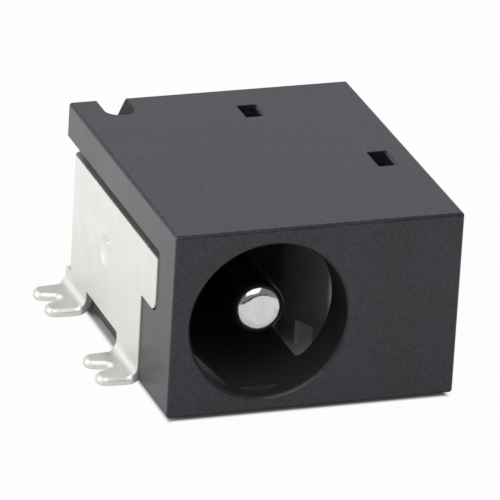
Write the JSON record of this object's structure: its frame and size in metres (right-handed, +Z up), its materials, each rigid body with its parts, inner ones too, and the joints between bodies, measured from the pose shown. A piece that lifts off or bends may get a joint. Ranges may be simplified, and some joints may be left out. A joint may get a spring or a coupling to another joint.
{
  "type": "dc barrel jack",
  "caption": "Surface-mount DC power jack: black moulded box with an offset round socket, a centre pin, and tinned terminals whose forked feet solder to a circuit board.",
  "frame": {"origin": "middle of the footprint, on the board plane that the soles of the feet stand on", "axes": "+X to the right as seen from the socket's mouth, +Y from the mouth to the back, +Z up from the board"},
  "size_m": [0.0138, 0.013, 0.0073],
  "materials": {
    "black_plastic": "matte black moulded thermoplastic with a fine grain",
    "nickel_pin": "turned brass with bright nickel plating",
    "tinned_sheet": "stamped brass sheet with matte tin plating",
    "spring_leaf": "rolled spring bronze with thin bright plating"
  },
  "bodies": {
    "root": {"housing": "black_plastic", "centre_pin": "nickel_pin", "pin_terminal": "tinned_sheet", "sleeve_spring": "spring_leaf", "shunt_contact": "tinned_sheet"}
  },
  "joints": []
}
